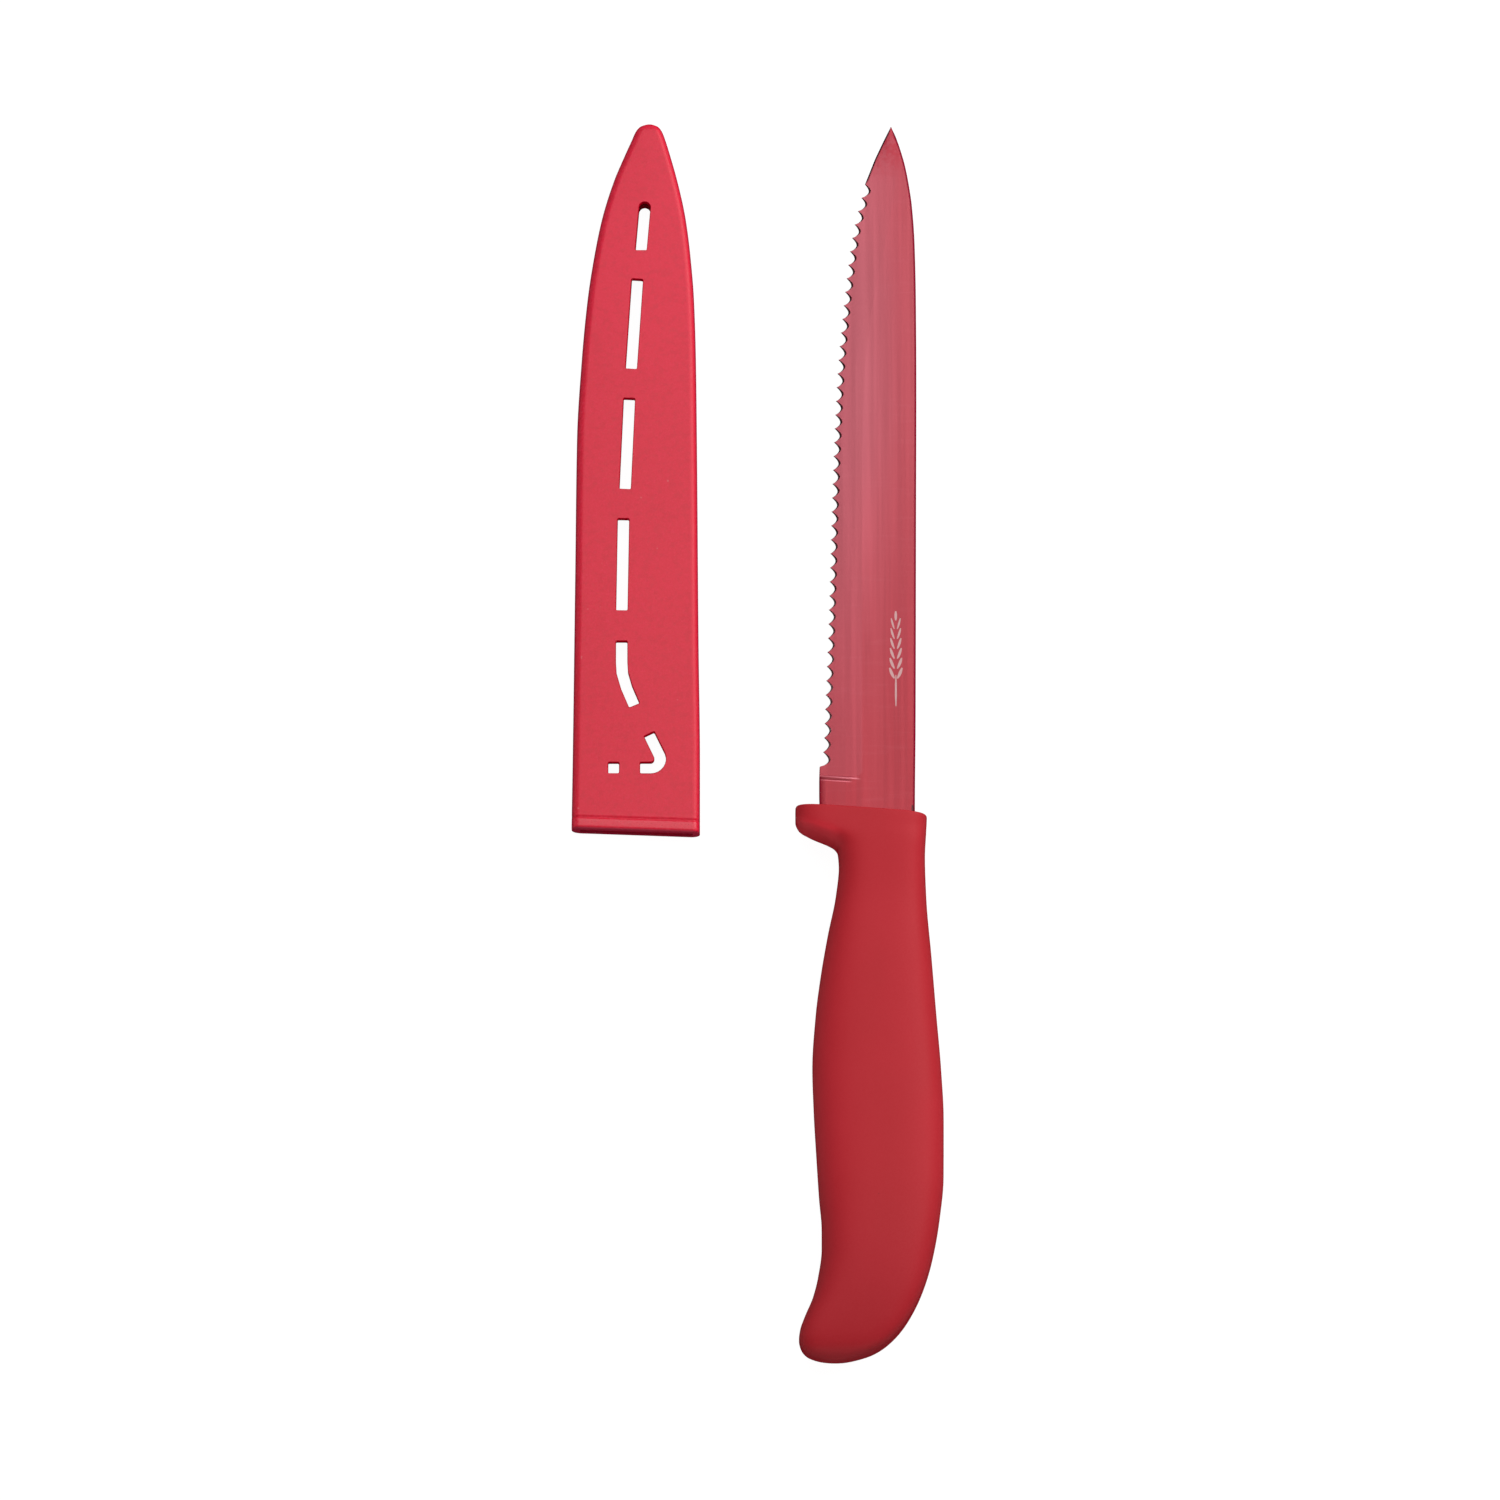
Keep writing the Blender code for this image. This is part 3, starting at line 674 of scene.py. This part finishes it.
def blade_ring(y, tooth, part):
    """Section of the blade at y, as (x, y, z, ground mark, rim mark); the rim mark says where
    shade is painted along the edges.
    """
    left, right = edge_line(y), smooth(SPINE, y)
    bevel = min(max(smooth(GRIND, y), left + 0.02), right - 0.01)
    top = half_thick(y)
    keen = ease((y - 7.4) / 0.5)    # 0 on the blunt heel, 1 where the blade is sharp
    if tooth is None:
        edge = left
        bare = 0.13 + 0.17 * ease(y - TEETH_END)
        # past the teeth the plain edge takes the painted shade of the rim
        plain_edge_shade = 0.9 * ease((y - TEETH_END) / 0.6)
    else:
        edge = left + scallop(tooth, part)
        bare = 0.1 + 0.32 * (1 - abs(2 * part - 1) ** 1.7)
        plain_edge_shade = 0.0
    wide = right - edge
    bare = min(bare, wide * 0.3)    # width of the bevel at the very edge
    corner = min(SPINE_R, wide * 0.3)
    ring = []

    def height(x):
        return face_at(x, y, left, bevel)[0]

    def ground(x):
        return face_at(x, y, left, bevel)[1]

    def blend(blunt_value, keen_value):
        return (1 - keen) * blunt_value + keen * keen_value

    def add(x, z, ground_mark, shade_rim_mark):
        ring.append((x, y, z, ground_mark, shade_rim_mark))

    # the edge: a bevel, or a rounded corner at the heel
    blunt = min(height(edge + corner), top)
    low = blend(-(blunt - corner), min(-height(edge) + 0.05, 0.0))
    shoulder = height(edge + bare)
    add(edge, low, 0, max(1 - keen, plain_edge_shade))
    add(edge + keen * bare * 0.5, blend(blunt - corner, low * 0.5 + shoulder * 0.5),
        0, max(1 - keen, plain_edge_shade))
    add(edge + blend(corner * 0.3, bare), blend(blunt - corner * 0.3, shoulder),
        ground(edge + bare) * keen, max((1 - keen) * 0.9, plain_edge_shade * 0.8))
    # the upper face: bevel, ridge, flat
    inner = edge + max(corner, bare + 0.08)
    add(inner, height(inner), ground(edge + corner), (1 - keen) * 0.2)
    limit = right - corner - 0.05
    ridge = min(max(bevel, inner + 0.3), limit) if limit > inner else inner
    places = [inner + (ridge - inner) * f for f in (0.14, 0.3, 0.48, 0.66, 0.82, 0.92)]
    for shift in (-0.3, -0.1, 0.1, 0.3):
        x = min(max(ridge + shift, inner + 0.94 * (ridge - inner)), right - corner * 1.02)
        places.append(max(x, places[-1] + 0.002))
    start = places[-1]
    places += [start + (right - corner - start) * f for f in (0.25, 0.5, 0.75)]
    for x in places:
        add(x, height(x), ground(x), 0)
    # the spine's two rounded corners
    degrees = (0, 25, 50, 72, 90)
    for side, turns in ((1, degrees), (-1, degrees[::-1])):
        for turn in turns:
            angle = math.radians(turn)
            add(right - corner + corner * math.sin(angle),
                side * (top - corner + corner * math.cos(angle)), 0, ease((turn - 2) / 24))
    # the lower face mirrors the upper one, without the bevel at the edge
    for x in reversed([inner] + places):
        add(x, -height(x), ground(x), 0)
    add(edge + blend(corner * 0.3, 0.02),
        blend(-(blunt - corner * 0.3), -height(edge + 0.02)),
        0, max((1 - keen) * 0.9, plain_edge_shade))
    return ring


def tang_ring(y, left, right, count):
    """Flat section of the tang, with 22 of its points on the upper face."""
    half = BLADE_T / 2
    wide = right - left
    return ([(left + wide * (i / 21), y, half, 0, 0) for i in range(22)]
            + [(right - wide * (i / (count - 23)), y, -half, 0, 0)
               for i in range(count - 22)])


def make_blade():
    stations = blade_stations()
    rings = [blade_ring(*station) for station in stations]
    count = len(rings[0])
    tang = [tang_ring(-TANG_LEN, TANG_L + 1.5, TANG_R - 1.5, count),
            tang_ring(-TANG_LEN + 1.5, TANG_L, TANG_R, count),
            tang_ring(-SHOULDER - 0.6, TANG_L, TANG_R, count)]
    first_tooth = len(tang) + [tooth for _, tooth, _ in stations].index(0)

    def face_mat(row, i):
        """Bare steel along the edge, from the first tooth on."""
        return 1 if row >= first_tooth and i in (0, 1, count - 1) else 0

    obj = to_mesh("serrated_blade", tang + rings, KNIFE, [COATED, BARE], face_mat,
                  ("ground", "rim"))
    carve(obj, lock_cylinders("hole_tool", LOCK_R))
    etch(obj)
    return obj


# ---- etched mark: an ear of wheat on the blade's upper face -----------------------------

def stroke(points, width):
    """Outline of a leaf-shaped stroke along a centre line."""
    count = len(points)
    return ribbon(points, [width / 2 * (0.25 + 0.75 * math.sin(math.pi * (i + 0.35)
                                                              / (count - 0.3)))
                           for i in range(count)])


def wheat_strokes():
    middle, base = 5.45, 21.8
    thirds = (0, 0.33, 0.66, 1)
    shapes = [stroke([(middle, base + t * 6.3) for t in thirds], 0.42)]
    for k in range(6):
        y = base + 5.6 + k * 2.0
        size = 1 - 0.07 * k
        for side in (-1, 1):
            shapes.append(stroke([(middle + side * (0.28 + 0.95 * size * t ** 0.8),
                                   y + 2.15 * t) for t in (0, 0.25, 0.5, 0.75, 1)],
                                 0.62 * size))
    shapes.append(stroke([(middle, base + 17.3 + 1.9 * t) for t in thirds], 0.55))
    return shapes


def etch(blade):
    carve(blade, [prism_tool("etch_tool", [(shape, 0.68), (shape, 1.2)], KNIFE)
                  for shape in wheat_strokes()])
    # the sunk faces take the pale finish
    blade.data.materials.append(ETCHED)
    for face in blade.data.polygons:
        x, y, z = (face.center[k] / MM - KNIFE[k] for k in range(3))
        if ETCH_X[0] < x < ETCH_X[1] and ETCH_Y[0] < y < ETCH_Y[1]:
            face.material_index = 2 if 0.3 < z < half_thick(y) - 0.004 else 0


# ---- handle -----------------------------------------------------------------------------

def handle_half(down):
    """Half thickness, with a shallow neck behind the guard and a rounded butt."""
    half = HANDLE_T / 2 - 0.45 * math.exp(-((down - 17) / 8) ** 2)
    if down > 85:
        part = (down - 85) / (HANDLE_LEN - 85 + 0.1)
        half *= (1 - 0.3 * part ** 2) * (1 - part ** 15) ** (1 / 2.4)
    return half


def handle_ring(down, inset, lean):
    """Superellipse section at a distance from the guard, leaning in the XY plane."""
    count = 112
    left = smooth(HANDLE_LEFT, down) + inset
    right = smooth(HANDLE_RIGHT, down) - inset
    middle, wide = (left + right) / 2, (right - left) / 2
    half = max(0.5, handle_half(down) - inset)
    power = 2 / smooth(HANDLE_FULL, down)
    ring = []
    for i in range(count):
        angle = 2 * math.pi * (i + 0.5) / count
        cos, sin = math.cos(angle), math.sin(angle)
        x = middle + wide * math.copysign(abs(cos) ** power, cos)
        z = half * math.copysign(abs(sin) ** power, sin)
        ring.append((x, -down - lean * x, z))
    return ring


def make_handle():
    rings = []
    for k in range(9):
        angle = math.radians(90 * k / 8)
        rings.append(handle_ring(HANDLE_EDGE_R * (1 - math.cos(angle)),
                                 HANDLE_EDGE_R * (1 - math.sin(angle)), GUARD_SLOPE))
    downs = (span(1.0, 12, 44) + span(12, 86, 60) + span(86, 100, 24) + span(100, 106, 18)
             + [HANDLE_LEN - 3.1 * (1 - k / 26) ** 1.6 for k in range(27)])
    rings += [handle_ring(down, 0, GUARD_SLOPE * (1 - ease(down / 6))) for down in downs]
    obj = to_mesh("moulded_handle", rings, KNIFE, [SOFT])

    # the slot for the tang keeps two posts that pass through the tang's holes
    half = BLADE_T / 2 + GAP
    heel, spine = HEEL_EDGE - GAP, 9.22 + GAP
    left, right = TANG_L - GAP, TANG_R + GAP
    rows = [[(x0, y, half), (x1, y, half), (x1, y, -half), (x0, y, -half)]
            for y, x0, x1 in ((4, heel, spine), (-SHOULDER - GAP, heel, spine),
                              (-SHOULDER - 0.6 - GAP, left, right),
                              (-TANG_LEN - GAP, left, right))]
    slot = to_mesh("slot_tool", rows, KNIFE)
    carve(slot, lock_cylinders("post_tool", LOCK_R - GAP))
    carve(obj, [slot])
    return obj


# ---- sheath -----------------------------------------------------------------------------

def sheath_swell(y):
    """How far the moulded lip at the mouth stands proud of the panel."""
    if y < 2.0:
        return 0.11 * (1 - ((y - 1.2) / 2.2) ** 2)
    groove = -0.10 * math.exp(-((y - 2.35) / 0.2) ** 2)
    ridge = 0.04 * math.exp(-((y - 2.85) / 0.16) ** 2)
    return 0.096 * (1 - ease((y - 2.0) / 0.25)) + groove + ridge


def mouth_lean(y):
    return MOUTH_SLOPE * (1 - ease(y / 12))


def sheath_ring(y, inset=0.0):
    """Rounded rectangle; the lip swells on the upper face only."""
    grow = sheath_swell(y) - inset
    left = smooth(SHEATH_LEFT, y) - min(grow, 0.0)
    right = smooth(SHEATH_RIGHT, y) + min(grow, 0.0)
    half = SHEATH_T / 2
    into_tip = y - (SHEATH_LEN - SHEATH_EDGE_R)
    if into_tip > 0:
        half -= SHEATH_EDGE_R - math.sqrt(max(0.0, SHEATH_EDGE_R ** 2 - into_tip ** 2))
    radius = min(SHEATH_EDGE_R, 0.45 * (right - left), 0.6 * half)
    half += grow
    bottom = -half if grow < 0 else -(half - grow)
    left, right = left + radius, right - radius
    top, bottom = half - radius, bottom + radius
    ring = []
    for corner_x, corner_z, start in ((right, top, 0), (left, top, 90),
                                      (left, bottom, 180), (right, bottom, 270)):
        for i in range(11):
            angle = math.radians(start + 9 * i)
            x = corner_x + radius * math.cos(angle)
            ring.append((x, y - mouth_lean(y) * x, corner_z + radius * math.sin(angle)))
    return ring


def bar(points):
    """Window of even width along a line of points, mitred at the bends."""
    halves = []
    for i, point in enumerate(points):
        miter = 1.0
        if 0 < i < len(points) - 1:
            before = (Vector(point) - Vector(points[i - 1])).normalized()
            miter = 1.0 / max(0.6, abs(heading(points, i).dot(before)))
        halves.append(SLOT_W / 2 * miter)
    return ribbon(points, halves)


def windows(extra):
    """Window outlines from the tip to the mouth; extra moves their far ends to +Y,
    apart from the first window's."""
    radius = SLOT_W / 2
    (low_x, low_y), (top_x, top_y) = (0.85, 117.65), (1.6, 126.35)
    arc = [(top_x + radius * math.cos(math.radians(a)),
            top_y + radius * math.sin(math.radians(a))) for a in range(0, 181, 15)]
    shapes = [[(low_x + radius, low_y)] + arc + [(low_x - radius, low_y)]]
    # straight windows: (x, y) of each end
    for low, high in (((-1.05, 93.45), (0.15, 111.7)), ((-2.22, 69.0), (-1.4, 87.4)),
                      ((-2.82, 44.4), (-2.53, 62.95))):
        shift = (Vector(high) - Vector(low)).normalized() * extra
        shapes.append(bar([low, (high[0] + shift.x, high[1] + shift.y)]))
    # a curved one, a hooked one and a small square
    lift = 0.42 * extra
    shapes.append(bar([(-0.3, 25.15 + lift), (-1.85, 28.8 + lift), (-2.7, 31.75 + lift),
                       (-2.84, 34.0 + lift), (-2.84, 38.15 + extra)]))
    bend = [(2.93 + 1.87 * math.sin(math.radians(a)),
             14.43 - 1.87 * math.cos(math.radians(a)) + lift) for a in range(0, 113, 14)]
    shapes.append(bar([(0.83, 12.56 + lift)] + bend + [(2.6, 19.4 + lift)]))
    far = 13.68 + 0.5 * extra
    shapes.append([(-5.45, 11.5), (-3.3, 11.5), (-3.3, far), (-5.45, far)])
    return shapes


def pocket_tool():
    """The hollow for the blade, with bevelled corners."""
    rings = []
    half = SHEATH_T / 2 - WALL_FACE
    cut = POCKET_CORNER
    for y in ([-3, -0.2] + span(0.3, 14, 8) + span(14, 132, 60)
              + span(132, POCKET_END, 12) + [POCKET_END]):
        left = smooth(SHEATH_LEFT, y) + WALL_CUT
        right = smooth(SHEATH_RIGHT, y) - WALL_SPINE
        rings.append([(left, y, half - cut), (left + cut, y, half),
                      (right - cut, y, half), (right, y, half - cut),
                      (right, y, cut - half), (right - cut, y, -half),
                      (left + cut, y, -half), (left, y, cut - half)])
    return to_mesh("pocket_tool", rings, SHEATH)


def window_tools():
    """Cutters through the upper and the lower wall, flared at the outer face."""
    tools = []
    top = SHEATH_T / 2
    for side, shapes in ((1, windows(0.0)), (-1, windows(2.0))):
        for shape in shapes:
            line = soften(shape)
            rows = [(line, 0.2 * side), (line, (top - 0.2) * side),
                    (offset(line, 0.04), (top - 0.08) * side),
                    (offset(line, 0.12), top * side),
                    (offset(line, 0.3), (top + 0.18) * side)]
            tools.append(prism_tool("window_tool", rows[::side], SHEATH, [SHADED_WALL]))
    return tools


def lip_mark(x, y, z):
    """The raised lip at the mouth, tinted lighter as a painted highlight and made glossier."""
    return ease((2.2 - y) / 0.2) * ease((y - 0.3) / 0.5)


def lit_side_mark(x, y, z):
    """The upper rounded corner on the right, where light is painted in."""
    return ease((x - smooth(SHEATH_RIGHT, y) + 1.5) / 0.5) if z > 0 else 0.0


def shade_rim_mark(x, y, z):
    """The upright part of both sides, and the end face at the mouth, where shade is painted
    in.
    """
    reach = min(smooth(SHEATH_RIGHT, y) - x, x - smooth(SHEATH_LEFT, y))
    return max(1 - ease((reach - 0.05) / 0.34), 1 - ease((y - 0.1) / 0.4))


def make_sheath():
    rings = []
    for k in range(7):
        angle = math.radians(90 * k / 6)
        rings.append(sheath_ring(MOUTH_EDGE_R * (1 - math.cos(angle)),
                                 MOUTH_EDGE_R * (1 - math.sin(angle))))
    # the rounded mouth already ends on the first of these stations
    stations = (span(MOUTH_EDGE_R, 4.0, 36)[1:] + span(4, 14, 12) + span(14, 139.0, 110)
                + [SHEATH_LEN - 4.6 * (1 - k / 22) ** 1.5 for k in range(23)])
    rings += [sheath_ring(y) for y in stations]
    obj = to_mesh("blade_sheath", rings, SHEATH, [PLASTIC])
    carve(obj, [pocket_tool()] + window_tools())

    # marks are worked out with the mouth's lean taken off
    spots = []
    for vert in obj.data.vertices:
        x, y, z = (vert.co[k] / MM - SHEATH[k] for k in range(3))
        spots.append((x, y + mouth_lean(y) * x, z))
    for name, mark in (("lip", lip_mark), ("side", lit_side_mark), ("rim", shade_rim_mark)):
        layer = obj.data.attributes.new(name, 'FLOAT', 'POINT')
        layer.data.foreach_set("value", [mark(*spot) for spot in spots])
    return obj


# ---- put it together ----------------------------------------------------------------------
# (maker, crease angle in degrees, node it rides, piece it replaces, material slot)
for make, crease, node, piece, slot_name in (
        (make_blade, 28, "knife", "blade", "coated_steel"),
        (make_handle, 40, "knife", "handle", "soft_handle"),
        (make_sheath, 30, "sheath", "sheath", "sheath_plastic")):
    obj = make()
    obj.data.shade_smooth()
    obj.data.set_sharp_from_angle(angle=math.radians(crease))
    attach(obj, node)
    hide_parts(piece)


# ---- floor, light, camera, in metres --------------------------------------------------------

def pale_floor():
    """Near white to the camera, grey to diffuse light, dark in reflections."""
    mat = bpy.data.materials.new("pale_floor")
    mat.use_nodes = True
    graph = Graph(mat.node_tree)
    bsdf = graph.tree.nodes["Principled BSDF"]
    for name, value in (("Base Color", (0.12, 0.12, 0.12, 1)), ("Roughness", 0.9),
                        ("Specular IOR Level", 0.0)):
        graph.put(bsdf.inputs[name], value)
    glow = graph.node("ShaderNodeEmission", {"Color": (1, 1, 1, 1), "Strength": 0.965})
    seen = graph.node("ShaderNodeAddShader", {0: bsdf.outputs[0], 1: glow.outputs[0]})
    dim = graph.node("ShaderNodeBsdfDiffuse", {"Color": (0.72, 0.70, 0.70, 1)})
    dark = graph.node("ShaderNodeBsdfDiffuse", {"Color": (0.10, 0.05, 0.06, 1)})
    path = graph.node("ShaderNodeLightPath").outputs
    unseen = graph.node("ShaderNodeMixShader", {0: path["Is Glossy Ray"],
                                                1: dim.outputs[0], 2: dark.outputs[0]})
    pick = graph.node("ShaderNodeMixShader", {0: path["Is Camera Ray"],
                                              1: unseen.outputs[0], 2: seen.outputs[0]})
    graph.put(graph.tree.nodes["Material Output"].inputs[0], pick.outputs[0])
    return mat


def make_floor():
    mat = pale_floor()
    build = bmesh.new()
    bmesh.ops.create_grid(build, x_segments=8, y_segments=8, size=6.0)
    mesh = bpy.data.meshes.new("floor")
    build.to_mesh(mesh)
    build.free()
    floor = bpy.data.objects.new("floor", mesh)
    bpy.context.collection.objects.link(floor)
    mesh.materials.append(mat)


def make_world():
    """White to the camera; a soft gradient, brightest up and toward +Y, as light."""
    world = bpy.data.worlds.new("studio")
    bpy.context.scene.world = world
    world.use_nodes = True
    graph = Graph(world.node_tree)
    back = graph.tree.nodes["Background"]
    coord = graph.node("ShaderNodeTexCoord")
    brightest = Vector((0.18, 0.6, 0.78)).normalized()
    turn = graph.node("ShaderNodeVectorMath", {0: coord.outputs["Generated"], 1: brightest},
                      operation='DOT_PRODUCT')
    gradient = graph.ramp(turn.outputs["Value"], over=(-0.35, 0.95), to=(0.09, 0.42))
    path = graph.node("ShaderNodeLightPath")
    level = graph.node("ShaderNodeMix", {0: path.outputs["Is Camera Ray"],
                                         2: gradient, 3: 1.0}, data_type='FLOAT')
    graph.put(back.inputs["Strength"], level.outputs[0])
    graph.put(back.inputs["Color"], (1, 1, 1, 1))


def softbox(name, place, size, watts, aim=(0, 0, 0)):
    light = bpy.data.lights.new(name, 'AREA')
    light.shape = 'RECTANGLE'
    light.size, light.size_y = size
    light.energy = watts
    obj = bpy.data.objects.new(name, light)
    bpy.context.collection.objects.link(obj)
    obj.location = place
    obj.rotation_euler = (Vector(aim) - Vector(place)).to_track_quat('-Z', 'Y').to_euler()
    obj.visible_camera = False


def make_camera():
    """Long lens from above, tilted a little toward -Y."""
    tilt = math.radians(12.0)
    distance = 3.0
    view_width = 0.2963031      # seen at the aim point
    aim = Vector((-0.00137, -0.00118, 0.0))
    cam = bpy.data.cameras.new("camera")
    cam.sensor_width = 36.0
    cam.lens = 36.0 * distance / view_width
    cam.clip_start = 0.05
    cam.clip_end = 60.0
    camera = bpy.data.objects.new("camera", cam)
    bpy.context.collection.objects.link(camera)
    camera.location = aim + distance * Vector((0, -math.sin(tilt), math.cos(tilt)))
    camera.rotation_euler = (tilt, 0, 0)
    bpy.context.scene.camera = camera


make_floor()
make_world()
softbox("key_light", place=(1.1, 0.6, 0.95), size=(0.9, 0.9), watts=12.0)
softbox("fill_light", place=(0.1, -1.35, 0.42), size=(1.3, 0.4), watts=3.0)
softbox("side_light", place=(-1.35, -0.1, 0.36), size=(1.2, 0.4), watts=1.0)
softbox("top_light", place=(0.06, 0.56, 1.7), size=(1.3, 0.9), watts=9.0, aim=(0, 0.05, 0))
make_camera()
bpy.context.scene.view_settings.view_transform = 'Standard'
bpy.context.scene.view_settings.look = 'None'
